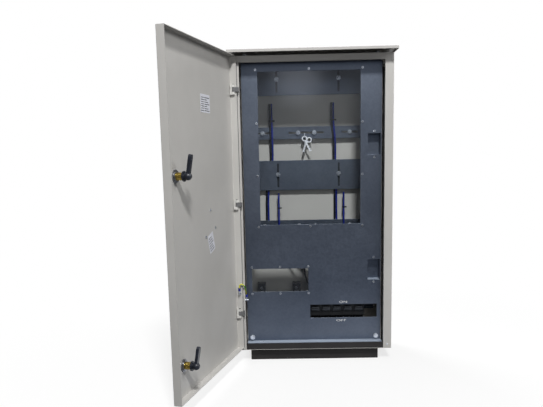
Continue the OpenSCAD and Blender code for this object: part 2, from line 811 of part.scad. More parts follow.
// Drum and paddle of a breaker's toggle, drawn switched on
module toggle(k) {
    color("#15171b") translate([breaker_x(k), din_y - drum_d, din_z]) rotate([-toggle_up, 0, 0]) {
        bar_x(0, 0, drum_r, -drum_w / 2, drum_w / 2);
        span([-paddle_w / 2, -paddle_l + paddle_t / 2, -paddle_t / 2], [paddle_w / 2, 0, paddle_t / 2]);
        bar_x(-paddle_l + paddle_t / 2, 0, paddle_t / 2, -paddle_w / 2, paddle_w / 2);
    }
}

module breaker_toggle_1() {
    toggle(0);
}

module breaker_toggle_2() {
    toggle(1);
}

module breaker_toggle_3() {
    toggle(2);
}

module breaker_toggle_4() {
    toggle(3);
}

module breaker_toggle_5() {
    toggle(4);
}

// Moulded stand-off with a waist, on the back wall
module bar_support(x) {
    w = support_w / 2;
    d = support_d;
    plan = [[-w, 0], [w, 0], [w, d * 0.35], [w - 4, d * 0.45], [w - 4, d * 0.65], [w, d * 0.75], [w, d],
            [-w, d], [-w, d * 0.75], [-w + 4, d * 0.65], [-w + 4, d * 0.45], [-w, d * 0.35]];
    color("#191c22") translate([x, support_y, support_bottom]) linear_extrude(support_h) polygon(plan);
}

module bar_support_left() {
    bar_support(support_xs[0]);
}

module bar_support_right() {
    bar_support(support_xs[1]);
}

module neutral_bar() {
    over = support_w / 2 + 4;
    color("#b08d3c")
        span([support_xs[0] - over, support_y - bar_t, bar_z], [support_xs[1] + over, support_y, bar_z + bar_h]);
}

module bar_screws() {
    screw_z = support_bottom + support_h * 0.68;
    bolts = 4;
    color(steel) {
        for (x = support_xs) {
            bar_y(x, screw_z, 5, support_y - 3, support_y);
            bar_y(x, screw_z, 2.5, support_y - 4, support_y - 2);
        }
        for (k = [1:bolts])
            bar_y(support_xs[0] + k * support_pitch / (bolts + 1), bar_z + bar_h / 2, 5.5,
                  support_y - bar_t - 5, support_y - bar_t, 6);
    }
}

module black_leads() {
    color("#15161a") for (p = black_routes) tube(cut_corners(cut_corners(p)), lead_r, [1, 0, 0]);
}

module blue_leads() {
    color("#1d2f8f") for (p = blue_routes) tube(cut_corners(cut_corners(p)), lead_r, [1, 0, 0]);
}

// Cable tie round a pair of leads: a flat band and its head
module cable_tie(x, y, z, w, d) {
    translate([x, y, z]) {
        difference() {
            linear_extrude(4) rounded_plan(w + 2, d + 2, 3);
            translate([0, 0, -1]) linear_extrude(6) rounded_plan(w, d, 2.5);
        }
        span([w / 2 + 0.5, -3, -0.5], [w / 2 + 6, 3, 4.5]);
    }
}

module cable_ties() {
    pair = 4 * lead_r + 1.2;
    one = 2 * lead_r + 0.8;
    color("#1b1c20") {
        for (x = upper_xs) cable_tie(x, lead_front, rail_zs[0] + rail_h + 18, pair, one);
        for (x = lower_xs) cable_tie(x, lead_front - half_pair, rail_zs[1] + rail_h + 40, one, pair);
    }
}

// Bent wire hook in the upper rail's long slot
module key_hook() {
    rear = plate_y + plate_t + 6;
    fore = plate_y - 2.5;
    tip = plate_y - 14;
    low = hook_z - hook_drop;
    bar_y(hook_x, hook_z, hook_r, fore, rear);
    bar_y(hook_x, low, hook_r, tip, fore);
    translate([hook_x, rear, hook_z - 8]) cylinder(r = hook_r, h = 8);
    translate([hook_x, fore, low]) cylinder(r = hook_r, h = hook_drop);
    translate([hook_x, tip, low]) cylinder(r = hook_r, h = 4);
    bends = [[rear, hook_z], [fore, hook_z], [fore, low], [tip, low]];
    for (c = bends) translate([hook_x, c[0], c[1]]) sphere(hook_r);
}

// Cast key with a bow of two rings and a hollow shank, hung by one ring
module cast_key(turn) {
    t = 1.5;
    ring = key_hole + 3.4;
    apart = ring - 1;
    translate([hook_x, plate_y - 5.6, key_z]) rotate([0, turn, 0]) translate([apart, 0, 0]) difference() {
        union() {
            for (x = [-apart, apart]) bar_y(x, 0, ring, -t, t);
            span([-5, -t, -13], [5, t, -3]);
            translate([0, 0, -16]) cylinder(r = 5.2, h = 4);
            translate([0, 0, -44]) cylinder(r = 4.2, h = 30);
        }
        for (x = [-apart, apart]) bar_y(x, 0, key_hole, -t - 1, t + 1);
        translate([0, 0, -45]) cylinder(r = 3.4, h = 14, $fn = 3);
    }
}

// Flat key on the same hook: bow, blade and bit
module flat_key(turn) {
    translate([hook_x, plate_y - 11, key_z]) rotate([90, turn, 0]) linear_extrude(1.6) difference() {
        union() {
            circle(key_hole + 3.4);
            translate([-2.5, -46]) square([5, 42]);
            translate([-2.5, -46]) square([8, 3.5]);
            translate([-2.5, -39]) square([7, 3.5]);
        }
        circle(key_hole);
    }
}

module cabinet_keys() {
    color(steel) {
        key_hook();
        cast_key(16);
        flat_key(-24);
    }
}

// Bracket on the left flange: a leg and an arm that reaches round the door's lip to the pin
module hinge_bracket(z) {
    low = z - hinge_h / 2 + knuckle_z + turn_gap;
    high = z + hinge_h / 2 - knuckle_z - turn_gap;
    color("#d9d9d6") difference() {
        union() {
            span([leg_x[0], axis_y - arm_t / 2, low], [leg_x[1], front, high]);
            span([axis_x, axis_y - arm_t / 2, low], [leg_x[1], axis_y + arm_t / 2, high]);
            translate([axis_x, axis_y, low]) cylinder(r = knuckle_r, h = high - low);
        }
        translate([axis_x, axis_y, low - 1]) cylinder(r = pin_r + pin_play, h = high - low + 2);
    }
}

module hinge_bracket_top() {
    hinge_bracket(hinge_zs[0]);
}

module hinge_bracket_middle() {
    hinge_bracket(hinge_zs[1]);
}

module hinge_bracket_bottom() {
    hinge_bracket(hinge_zs[2]);
}

module hinge_pins() {
    head_h = 1.2;
    head_z = hinge_h + turn_gap;
    color(steel) for (z = hinge_zs) translate([axis_x, axis_y, z - hinge_h / 2]) {
        cylinder(r = pin_r, h = head_z + head_h);
        translate([0, 0, head_z]) cylinder(r = knuckle_r - 0.3, h = head_h);
    }
}

// Rubber strip on the left flange, between the hinges and the opening
module hinge_seal() {
    color("#1a1b1d") span([seal_x, front - seal_t, door_z], [seal_x + seal_w, front, open_top]);
}

// Ring lug on a stud along +X at the origin: stud, washer, nut, ring and the ferrule above it
module earth_stud(ferrule_x, bore) {
    difference() {
        union() {
            bar_x(0, 0, 2.5, 0, 11);
            bar_x(0, 0, 5, 0, 1);
            bar_x(0, 0, 4.6, 2, 6, 6);
            span([1, -3, 0], [2, 3, 9]);
            bar_x(0, 0, 4.8, 1, 2);
            span([1, -2, 7], [ferrule_x, 2, 9]);
            translate([ferrule_x, 0, 8]) cylinder(r = ferrule_r, h = 10);
        }
        translate([ferrule_x, 0, 11]) cylinder(r = bore, h = 10);
    }
}

module body_earth_stud() {
    color(steel) translate([-open_x, body_earth_y, body_earth_z])
        earth_stud(body_ferrule_x + open_x, earth_d / 2 + pin_play);
}

module earth_wire() {
    color("#7fae2a") tube(cut_corners(cut_corners(earth_route)), earth_d / 2, [0.6, 0.8, 0.05], 12);
}

// Swings the door's pieces from their closed place to the open one
module on_door() {
    translate([axis_x, axis_y, 0]) rotate([0, 0, -door_open]) translate([-axis_x, -axis_y, 0]) children();
}

// Folded pan: skin and four flanges, drilled for the locks
module door_panel() {
    deep = door_depth + 20;
    color(paint) on_door() difference() {
        union() {
            translate([0, 0, door_z]) linear_extrude(door_h) difference() {
                translate([0, face_y + deep / 2]) rounded_plan(2 * door_x, deep, bend_r);
                translate([0, skin_y + deep / 2]) rounded_plan(2 * (door_x - sheet), deep, bend_r - sheet);
                translate([-door_x - 1, lip_y]) square([2 * door_x + 2, deep]);
            }
            for (z = [door_z, door_z + door_h - sheet])
                span([-door_x + sheet, skin_y - sheet / 2, z], [door_x - sheet, lip_y, z + sheet]);
        }
        for (z = lock_zs) bar_y(lock_x, z, bush_r + hole_play, face_y - 1, skin_y + 1);
    }
}

// Leaf on the door's hinge flange: a block with two lugs, above and below the bracket's knuckle
module hinge_leaf(z) {
    low = z - hinge_h / 2;
    flange = -door_x + sheet;
    color("#d9d9d6") on_door() difference() {
        union() {
            span([flange, skin_y + 2, low], [flange + leaf_t, axis_y + 5, low + hinge_h]);
            span([flange, skin_y + 2, low], [axis_x + knuckle_r, axis_y - knuckle_r - turn_gap, low + hinge_h]);
            for (k = [0, hinge_h - knuckle_z]) {
                translate([axis_x, axis_y, low + k]) cylinder(r = knuckle_r, h = knuckle_z);
                span([flange, skin_y + 2, low + k], [axis_x, axis_y + knuckle_r, low + k + knuckle_z]);
                span([axis_x, skin_y + 2, low + k], [axis_x + knuckle_r, axis_y, low + k + knuckle_z]);
            }
        }
        translate([axis_x, axis_y, low - 1]) cylinder(r = pin_r + pin_play, h = hinge_h + 2);
    }
}

module hinge_leaf_top() {
    hinge_leaf(hinge_zs[0]);
}

module hinge_leaf_middle() {
    hinge_leaf(hinge_zs[1]);
}

module hinge_leaf_bottom() {
    hinge_leaf(hinge_zs[2]);
}

// Lock bush through the door's skin, with its outer flange and the recess for the key
module lock_bush(z) {
    rim_t = 3;
    color("#b5a050") on_door() difference() {
        union() {
            bar_y(lock_x, z, bush_r, face_y - 1, bush_end);
            bar_y(lock_x, z, bush_r + 4, face_y - rim_t, face_y);
        }
        bar_y(lock_x, z, spindle_r + pin_play, face_y - rim_t - 1, bush_end + 1);
        bar_y(lock_x, z, bush_r - 2, face_y - rim_t - 1, face_y - rim_t + recess_d);
    }
}

module upper_lock_bush() {
    lock_bush(lock_zs[0]);
}

module lower_lock_bush() {
    lock_bush(lock_zs[1]);
}

// Round nuts that clamp the bushes to the skin
module lock_nuts() {
    color("#8f9094") on_door() for (z = lock_zs) difference() {
        union() {
            bar_y(lock_x, z, nut_r, skin_y, skin_y + 3);
            bar_y(lock_x, z, nut_r - 3, skin_y + 3, skin_y + 6);
        }
        bar_y(lock_x, z, bush_r, skin_y - 1, skin_y + 7);
    }
}

// Lever with its collar, elbow and arm, and the spindle that ends in a three-sided key post
module lock_lever(z) {
    collar_y = bush_end + turn_gap;
    post_y = face_y - 3 + recess_d;
    color("#23262e") on_door() {
        bar_y(lock_x, z, spindle_r, post_y, collar_y + 1);
        bar_y(lock_x, z, spindle_r, post_y - recess_d + 1, post_y, 3);
        bar_y(lock_x, z, 13, collar_y, collar_y + collar_t - 2);
        bar_y(lock_x, z, 9, collar_y, lever_y);
        translate([lock_x, lever_y, z]) {
            sphere(r = 10);
            rotate([-lever_tilt, 0, 0]) {
                span([-lever_w / 2, -lever_t / 2, 0], [lever_w / 2, lever_t / 2, lever_l - lever_w / 2]);
                bar_y(0, lever_l - lever_w / 2, lever_w / 2, -lever_t / 2, lever_t / 2);
            }
        }
    }
}

module upper_lock_lever() {
    lock_lever(lock_zs[0]);
}

module lower_lock_lever() {
    lock_lever(lock_zs[1]);
}

module door_earth_stud() {
    flange = -door_x + sheet;
    color(steel) on_door() translate([flange, axis_y, earth_z])
        earth_stud(axis_x - flange, earth_d / 2 + pin_play);
}

// Blind rivets seen on the inside of the skin, as [distance from the hinge edge, height above the door's bottom]
module door_rivets() {
    color(steel) on_door() for (s = [[201, 469], [168, 415], [242, 397]]) {
        bar_y(-door_x + s[0], door_z + s[1], 4, skin_y, skin_y + 1);
        bar_y(-door_x + s[0], door_z + s[1], 2.2, skin_y, skin_y + 2.2);
    }
}

cabinet_body();
rain_roof();
roof_studs();
plinth();
sill_plate();
panel_post_left();
panel_post_right();
meter_panel();
panel_bolts();
main_window();
lower_window();
panel_screws();
pocket_upper();
pocket_lower();
upper_hanger_plate();
lower_hanger_plate();
upper_meter_rail();
lower_meter_rail();
meter_channel_left();
meter_channel_right();
meter_screws();
din_rail();
din_brackets();
breaker_1();
breaker_2();
breaker_3();
breaker_4();
breaker_5();
breaker_toggle_1();
breaker_toggle_2();
breaker_toggle_3();
breaker_toggle_4();
breaker_toggle_5();
bar_support_left();
bar_support_right();
neutral_bar();
bar_screws();
black_leads();
blue_leads();
cable_ties();
cabinet_keys();
hinge_bracket_top();
hinge_bracket_middle();
hinge_bracket_bottom();
hinge_pins();
hinge_seal();
body_earth_stud();
earth_wire();
door_panel();
hinge_leaf_top();
hinge_leaf_middle();
hinge_leaf_bottom();
upper_lock_bush();
lower_lock_bush();
lock_nuts();
upper_lock_lever();
lower_lock_lever();
door_earth_stud();
door_rivets();
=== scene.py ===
import json
import math

import bmesh
import bpy
from mathutils import Matrix, Vector


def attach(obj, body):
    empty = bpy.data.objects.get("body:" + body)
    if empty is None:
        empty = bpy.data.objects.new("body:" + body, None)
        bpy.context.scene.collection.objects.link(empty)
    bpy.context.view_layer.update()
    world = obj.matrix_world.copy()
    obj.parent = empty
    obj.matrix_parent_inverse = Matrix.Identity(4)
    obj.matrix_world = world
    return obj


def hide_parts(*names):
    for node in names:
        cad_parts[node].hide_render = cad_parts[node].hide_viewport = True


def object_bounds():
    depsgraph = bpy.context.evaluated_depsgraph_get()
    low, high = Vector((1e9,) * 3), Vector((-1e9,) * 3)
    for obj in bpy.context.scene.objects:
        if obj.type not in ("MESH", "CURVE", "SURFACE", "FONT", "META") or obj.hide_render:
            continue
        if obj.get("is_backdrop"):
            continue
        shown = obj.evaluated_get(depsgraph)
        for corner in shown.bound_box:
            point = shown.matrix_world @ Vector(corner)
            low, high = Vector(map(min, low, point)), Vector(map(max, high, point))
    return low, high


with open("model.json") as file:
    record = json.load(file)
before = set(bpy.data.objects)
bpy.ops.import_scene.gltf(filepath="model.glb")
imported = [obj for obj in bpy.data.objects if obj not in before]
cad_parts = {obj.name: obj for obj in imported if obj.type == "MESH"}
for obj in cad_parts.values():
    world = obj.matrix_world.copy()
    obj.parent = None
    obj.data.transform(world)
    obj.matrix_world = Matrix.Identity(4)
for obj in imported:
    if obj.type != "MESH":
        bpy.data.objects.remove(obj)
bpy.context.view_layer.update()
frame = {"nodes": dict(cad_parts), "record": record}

# Sizes of the cabinet that the added pieces sit on, in metres
HINGE_AXIS = Vector((-0.2405, -0.122, 0.0))
DOOR_OPEN = 105
DOOR_EDGE_X = -0.247
DOOR_SKIN_Y = -0.134
PANEL_FACE_Y = -0.0762
PANEL_LIP_TOP = 0.0615
LIP_RIVET_Y = -0.092
BODY_FRONT_Y = -0.110
EARTH_DOOR_Z = 0.232
EARTH_BODY = Vector((-0.219, -0.104, 0.208))
WIRE_R = 0.0022
SHUT_TO_OPEN = (Matrix.Translation(HINGE_AXIS) @ Matrix.Rotation(math.radians(-DOOR_OPEN), 4, "Z")
                @ Matrix.Translation(-HINGE_AXIS))


# Node and mesh helpers

def linear(code):
    """An sRGB hex colour as linear red, green, blue and alpha."""
    parts = [int(code[k:k + 2], 16) / 255 for k in (1, 3, 5)]
    return tuple(c / 12.92 if c <= 0.04045 else ((c + 0.055) / 1.055) ** 2.4 for c in parts) + (1.0,)


def add(tree, kind, settings=None, inputs=None):
    """Adds one node; each input is a value, or the socket that feeds it."""
    node = tree.nodes.new(kind)
    for name, value in (settings or {}).items():
        setattr(node, name, value)
    for name, value in (inputs or {}).items():
        if isinstance(value, bpy.types.NodeSocket):
            tree.links.new(value, node.inputs[name])
        else:
            node.inputs[name].default_value = value
    return node


def finish(name, values):
    """A new material with one Principled shader: its tree and that shader."""
    material = bpy.data.materials.new(name)
    material.use_nodes = True
    tree = material.node_tree
    shader = tree.nodes["Principled BSDF"]
    for socket, value in values.items():
        shader.inputs[socket].default_value = value
    return material, tree, shader


def per_mm(size):
    """Noise scale for features of that many millimetres on Object coordinates, which are in metres."""
    return 1000 / size


def mottled(tree, place, size_mm, dark, light):
    """A colour that drifts between two tones in soft clouds."""
    cloud = add(tree, "ShaderNodeTexNoise", None, {"Vector": place, "Scale": per_mm(size_mm), "Detail": 4})
    ramp = add(tree, "ShaderNodeValToRGB", None, {"Fac": cloud.outputs["Fac"]})
    for stop, position, code in zip(ramp.color_ramp.elements, (0.35, 0.65), (dark, light)):
        stop.position = position
        stop.color = linear(code)
    return ramp.outputs["Color"]


def drifting(tree, place, size_mm, low, high):
    """A number that drifts between two values in soft clouds."""
    cloud = add(tree, "ShaderNodeTexNoise", None, {"Vector": place, "Scale": per_mm(size_mm), "Detail": 3})
    return add(tree, "ShaderNodeMapRange", None,
               {"Value": cloud.outputs["Fac"], "From Min": 0.3, "From Max": 0.7,
                "To Min": low, "To Max": high}).outputs["Result"]


def grain(tree, place, size_mm, height_mm, strength, rounding_mm):
    """A bumpy normal from fine noise, on edges rounded off by the given radius."""
    noise = add(tree, "ShaderNodeTexNoise", None, {"Vector": place, "Scale": per_mm(size_mm), "Detail": 2})
    bump = add(tree, "ShaderNodeBump", None,
               {"Height": noise.outputs["Fac"], "Distance": height_mm / 1000, "Strength": strength})
    edge = add(tree, "ShaderNodeBevel", {"samples": 4}, {"Radius": rounding_mm / 1000})
    tree.links.new(edge.outputs["Normal"], bump.inputs["Normal"])
    return bump.outputs["Normal"]


def mesh_piece(name, mesh, material, body):
    """Links a finished mesh as a piece that moves with a body and takes its finish from a slot."""
    piece = bpy.data.objects.new(name, mesh)
    bpy.context.scene.collection.objects.link(piece)
    mesh.materials.clear()
    mesh.materials.append(material)
    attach(piece, body)
    return piece


def from_bmesh(name, bm):
    """A mesh from a bmesh, with its faces turned outwards."""
    bmesh.ops.remove_doubles(bm, verts=bm.verts, dist=1e-7)
    bmesh.ops.recalc_face_normals(bm, faces=bm.faces)
    mesh = bpy.data.meshes.new(name)
    bm.to_mesh(mesh)
    bm.free()
    return mesh


# Finishes

def powder_coat():
    """Fine-texture polyester powder coat in pebble grey on steel: satin, a slight orange peel, soft folds."""
    material, tree, shader = finish("polyester_powder_coat", {"Specular IOR Level": 0.42})
    place = add(tree, "ShaderNodeTexCoord").outputs["Object"]
    # The peel is about 1 mm on the real coat, and is drawn at 3 mm so that it shows
    tree.links.new(mottled(tree, place, 140, "#bbb9b5", "#c1bfbb"), shader.inputs["Base Color"])
    tree.links.new(drifting(tree, place, 60, 0.4, 0.5), shader.inputs["Roughness"])
    tree.links.new(grain(tree, place, 3, 0.12, 0.35, 1.1), shader.inputs["Normal"])
    return material


def plinth_paint():
    """Black-brown chassis paint on the plinth, matt and a little dusty; on the sill the same dark colour is
    partly paint and partly painted shade.
    """
    material, tree, shader = finish("chassis_paint_and_sill_shade", {"Specular IOR Level": 0.35})
    place = add(tree, "ShaderNodeTexCoord").outputs["Object"]
    tree.links.new(mottled(tree, place, 90, "#1b191a", "#252323"), shader.inputs["Base Color"])
    tree.links.new(drifting(tree, place, 40, 0.5, 0.62), shader.inputs["Roughness"])
    tree.links.new(grain(tree, place, 3, 0.15, 0.35, 1.1), shader.inputs["Normal"])
    return material


def zinc_sheet():
    """Hot-dip galvanized sheet: bluish zinc with fine spangle; faces that look up are paler and less
    metallic, partly as dust and partly as a painted highlight of light from above.
    """
    material, tree, shader = finish("galvanized_sheet", {})
    coords = add(tree, "ShaderNodeTexCoord")
    place = coords.outputs["Object"]
    # Minimised spangle is 1 to 2 mm across, and is drawn at 5 mm so that it shows
    spangle = add(tree, "ShaderNodeTexVoronoi", None,
                  {"Vector": place, "Scale": per_mm(5), "Randomness": 1.0})
    tone = add(tree, "ShaderNodeSeparateColor", None, {"Color": spangle.outputs["Color"]}).outputs["Red"]
    cloud = mottled(tree, place, 180, "#5f6672", "#6a717d")
    crystal = add(tree, "ShaderNodeMapRange", None, {"Value": tone, "To Min": 0.95, "To Max": 1.05})
    metal = add(tree, "ShaderNodeVectorMath", {"operation": "SCALE"},
                {0: cloud, "Scale": crystal.outputs["Result"]})
    # Faces that look up turn pale and less metallic: partly dust, partly a painted highlight that stands for
    # light falling from above
    upward = add(tree, "ShaderNodeSeparateXYZ", None, {"Vector": coords.outputs["Normal"]}).outputs["Z"]
    dust_and_top_light = add(tree, "ShaderNodeMapRange", None,
               {"Value": upward, "From Min": 0.6, "From Max": 0.95}).outputs["Result"]
    colour = add(tree, "ShaderNodeMix", {"data_type": "RGBA"},
                 {"Factor": dust_and_top_light, 6: metal.outputs["Vector"], 7: linear("#a9b4c2")})
    tree.links.new(colour.outputs[2], shader.inputs["Base Color"])
    bare = add(tree, "ShaderNodeMapRange", None, {"Value": dust_and_top_light, "To Min": 1.0, "To Max": 0.25})
    tree.links.new(bare.outputs["Result"], shader.inputs["Metallic"])
    gloss = add(tree, "ShaderNodeMapRange", None, {"Value": tone, "To Min": 0.4, "To Max": 0.45})
    tree.links.new(gloss.outputs["Result"], shader.inputs["Roughness"])
    tree.links.new(grain(tree, place, 5, 0.05, 0.08, 0.9), shader.inputs["Normal"])
    return material


def zinc_plate(name, dark, light, rough):
    """Plated or cast metal: a mottled tone and a fine grain."""
    material, tree, shader = finish(name, {"Metallic": 1.0})
    place = add(tree, "ShaderNodeTexCoord").outputs["Object"]
    tree.links.new(mottled(tree, place, 6, dark, light), shader.inputs["Base Color"])
    tree.links.new(drifting(tree, place, 3, rough - 0.06, rough + 0.06), shader.inputs["Roughness"])
    tree.links.new(grain(tree, place, 1.2, 0.03, 0.3, 0.4), shader.inputs["Normal"])
    return material


def acrylic():
    """Clear cast acrylic with sharp reflections; lamps and bounced light pass straight through it."""
    material, tree, shader = finish("clear_cast_acrylic", {
        "Base Color": linear("#f0f3f5"), "Transmission Weight": 1.0, "IOR": 1.49, "Roughness": 0.03})
    clear = add(tree, "ShaderNodeBsdfTransparent", None, {"Color": linear("#fafbfb")})
    path = add(tree, "ShaderNodeLightPath")
    light = add(tree, "ShaderNodeMath", {"operation": "MAXIMUM"},
                {0: path.outputs["Is Shadow Ray"], 1: path.outputs["Is Diffuse Ray"]})
    light = add(tree, "ShaderNodeMath", {"operation": "MAXIMUM"},
                {0: light.outputs["Value"], 1: path.outputs["Is Glossy Ray"]})
    mix = add(tree, "ShaderNodeMixShader", None,
              {0: light.outputs["Value"], 1: shader.outputs["BSDF"], 2: clear.outputs["BSDF"]})
    tree.links.new(mix.outputs["Shader"], tree.nodes["Material Output"].inputs["Surface"])
    return material


def moulded(name, dark, light, rough):
    """Plastic, paint, print or paper: an almost even colour with a fine texture."""
    material, tree, shader = finish(name, {"IOR": 1.5})
    place = add(tree, "ShaderNodeTexCoord").outputs["Object"]
    tree.links.new(mottled(tree, place, 14, dark, light), shader.inputs["Base Color"])
    tree.links.new(drifting(tree, place, 8, rough - 0.05, rough + 0.05), shader.inputs["Roughness"])
    tree.links.new(grain(tree, place, 1.5, 0.04, 0.3, 0.3), shader.inputs["Normal"])
    return material


def brass(name, dark, light, rough):
    """Turned or drawn brass, slightly tarnished."""
    material, tree, shader = finish(name, {"Metallic": 1.0})
    place = add(tree, "ShaderNodeTexCoord").outputs["Object"]
    tree.links.new(mottled(tree, place, 9, dark, light), shader.inputs["Base Color"])
    tree.links.new(drifting(tree, place, 5, rough - 0.07, rough + 0.07), shader.inputs["Roughness"])
    tree.links.new(grain(tree, place, 1.5, 0.03, 0.3, 0.3), shader.inputs["Normal"])
    return material


def earth_sheath():
    """Green PVC sheath with one broad yellow stripe wound round it, on the wire's own UV map."""
    material, tree, shader = finish("earth_pvc_sheath", {"IOR": 1.5, "Roughness": 0.38})
    around = add(tree, "ShaderNodeTexCoord").outputs["UV"]
    turn = add(tree, "ShaderNodeSeparateXYZ", None, {"Vector": around})
    # U goes once round the wire, and V is the distance along it in metres; the stripe turns once in 60 mm
    wound = add(tree, "ShaderNodeMath", {"operation": "MULTIPLY_ADD"},
                {0: turn.outputs["Y"], 1: 1000 / 60, 2: turn.outputs["X"]})
    wave = add(tree, "ShaderNodeMath", {"operation": "FRACT"}, {0: wound.outputs["Value"]})
    side = add(tree, "ShaderNodeMath", {"operation": "GREATER_THAN"}, {0: wave.outputs["Value"], 1: 0.5})
    colour = add(tree, "ShaderNodeMix", {"data_type": "RGBA"},
                 {"Factor": side.outputs["Value"], 6: linear("#3f8a2c"), 7: linear("#d2cf2e")})
    tree.links.new(colour.outputs[2], shader.inputs["Base Color"])
    return material


FINISHES = {
    "powder_coat": powder_coat(),
    "plinth_paint": plinth_paint(),
    "zinc_sheet": zinc_sheet(),
    "zinc_fastener": zinc_plate("bright_zinc_plating", "#b9bdc4", "#d6d9dd", 0.28),
    "clear_acrylic": acrylic(),
    "breaker_case": moulded("black_polyamide", "#0f1012", "#16171a", 0.55),
    "toggle_black": moulded("grey_polycarbonate", "#54585e", "#60646a", 0.4),
    "moulded_black": moulded("black_moulded_polyester", "#161a20", "#20252d", 0.48),
    "bar_brass": brass("drawn_brass", "#9d8038", "#b4964a", 0.34),
    "lead_black": moulded("black_pvc_insulation", "#0f1013", "#18191d", 0.4),
    "lead_blue": moulded("blue_pvc_insulation", "#10206f", "#182b8e", 0.4),
    "tie_nylon": moulded("black_nylon", "#15161a", "#1f2024", 0.42),
    "hinge_zinc": moulded("painted_zinc_casting", "#c6c5c1", "#d4d3cf", 0.36),
    "lock_brass": brass("turned_brass", "#a48c42", "#bfa65a", 0.3),
    "lock_nut_zinc": zinc_plate("grey_zinc_casting", "#7b7c80", "#929397", 0.38),
    "lever_black": moulded("black_powder_coat", "#191c24", "#242833", 0.36),
    "earth_yellow_green": earth_sheath(),
}
for part in frame["record"]["subparts"]:
    node = frame["nodes"][part["node"]]
    node.data.materials.clear()
    node.data.materials.append(FINISHES[part["material_slot"]])

# The hinge brackets are a darker grey as painted shade for the dark gap between each hinge's lugs. The pins
# are black steel, and their darkness also paints the shade at each hinge's top and bottom.
shade_grey_casting = moulded("grey_casting_as_painted_shade", "#5c5c5c", "#68686a", 0.45)
phosphated_and_shade = zinc_plate("black_steel_and_painted_shade", "#2a2a2b", "#38383a", 0.5)
die_cast = zinc_plate("die_cast_zinc", "#e6e8ee", "#f2f3f6", 0.6)
for name, coat in (("hinge_bracket_top", shade_grey_casting), ("hinge_bracket_middle", shade_grey_casting),
                   ("hinge_bracket_bottom", shade_grey_casting), ("hinge_pins", phosphated_and_shade),
                   ("cabinet_keys", die_cast)):
    mesh = frame["nodes"][name].data
    mesh.materials.clear()
    mesh.materials.append(coat)

paper = moulded("matt_paper_label", "#d5d6de", "#e0e1e7", 0.62)
label_ink = moulded("grey_print", "#6b6d70", "#77797c", 0.6)
panel_ink = moulded("white_screen_print", "#e9eaea", "#f2f3f3", 0.55)
blue_sleeve = moulded("blue_pvc_sleeve", "#151d6e", "#1e2a86", 0.4)
recess_shade = moulded("shaded_screw_recess", "#3a3c40", "#46484c", 0.6)


# Earth wire with its sleeves

def rounded_route(points, passes=3):
    """The route with its corners cut off again and again, which leaves the ends in place."""
    for _ in range(passes):
        cut = [points[0]]
        for a, b in zip(points, points[1:]):
            cut += [a.lerp(b, 0.25), a.lerp(b, 0.75)]
        points = [cut[0]] + cut[2:-2] + [points[-1]]
    return points


def wire_mesh(name, route, radius, sides=16):
    """A closed tube along a route, with U once round it and V the distance along it in metres."""
    bm = bmesh.new()
    uv = bm.loops.layers.uv.new("along")
    across = Vector((0.6, 0.8, 0.05))
    rings, runs, run = [], [], 0.0
    for k, p in enumerate(route):
        ahead = (route[min(k + 1, len(route) - 1)] - route[max(k - 1, 0)]).normalized()
        side = (across - ahead * across.dot(ahead)).normalized()
        up = ahead.cross(side)
        across = side
        run += (p - route[k - 1]).length if k else 0.0
        runs.append(run)
        rings.append([bm.verts.new(p + radius * (math.cos(t) * side + math.sin(t) * up))
                      for t in (2 * math.pi * s / sides for s in range(sides))])
    for k in range(len(rings) - 1):
        for s in range(sides):
            e = (s + 1) % sides
            face = bm.faces.new((rings[k][s], rings[k][e], rings[k + 1][e], rings[k + 1][s]))
            face.smooth = True
            for loop, (u, v) in zip(face.loops, ((s, k), (s + 1, k), (s + 1, k + 1), (s, k + 1))):
                loop[uv].uv = (u / sides, runs[v])
    bm.faces.new(list(reversed(rings[0])))
    bm.faces.new(rings[-1])
    return from_bmesh(name, bm)


# The route has the points of the wire in the part's source
axis, wall = HINGE_AXIS, EARTH_BODY
earth_route = [Vector(p) for p in (
    (axis.x, axis.y, EARTH_DOOR_Z + 0.012), (axis.x, axis.y, EARTH_DOOR_Z + 0.025),
    (axis.x + 0.005, axis.y - 0.005, EARTH_DOOR_Z + 0.033),
    (axis.x + 0.014, axis.y - 0.003, EARTH_DOOR_Z + 0.029),
    (wall.x, wall.y, wall.z + 0.034), (wall.x, wall.y, wall.z + 0.012))]
sheath_mesh = wire_mesh("earth_wire_sheath", rounded_route(earth_route), WIRE_R)
earth_wire = mesh_piece("earth_wire_sheath", sheath_mesh, FINISHES["earth_yellow_green"], "cabinet")
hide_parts("earth_wire")


def sleeve_mesh(name, x, y, low, high, inner, outer, sides=28):
    """An upright tube with a wall, round a wire that may turn inside it."""
    bm = bmesh.new()
    rings = []
    for radius, z in ((outer, low), (outer, high), (inner, high), (inner, low)):
        rings.append([bm.verts.new((x + radius * math.cos(t), y + radius * math.sin(t), z))
                      for t in (2 * math.pi * k / sides for k in range(sides))])
    for a, b in zip(rings, rings[1:] + rings[:1]):
        for k in range(sides):
            e = (k + 1) % sides
            bm.faces.new((a[k], a[e], b[e], b[k]))
    return from_bmesh(name, bm)


SLEEVE_LOW, SLEEVE_HIGH, SLEEVE_IN, SLEEVE_OUT = 0.0092, 0.0192, 0.00335, 0.0039
for name, spot, z, body in (("door_lug_sleeve", axis, EARTH_DOOR_Z, "door"),
                            ("body_lug_sleeve", wall, wall.z, "cabinet")):
    tube = sleeve_mesh(name, spot.x, spot.y, z + SLEEVE_LOW, z + SLEEVE_HIGH, SLEEVE_IN, SLEEVE_OUT)
    mesh_piece(name, tube, blue_sleeve, body)


# Rivets, corner screws and the recesses of the panel screws, repeated by Geometry Nodes

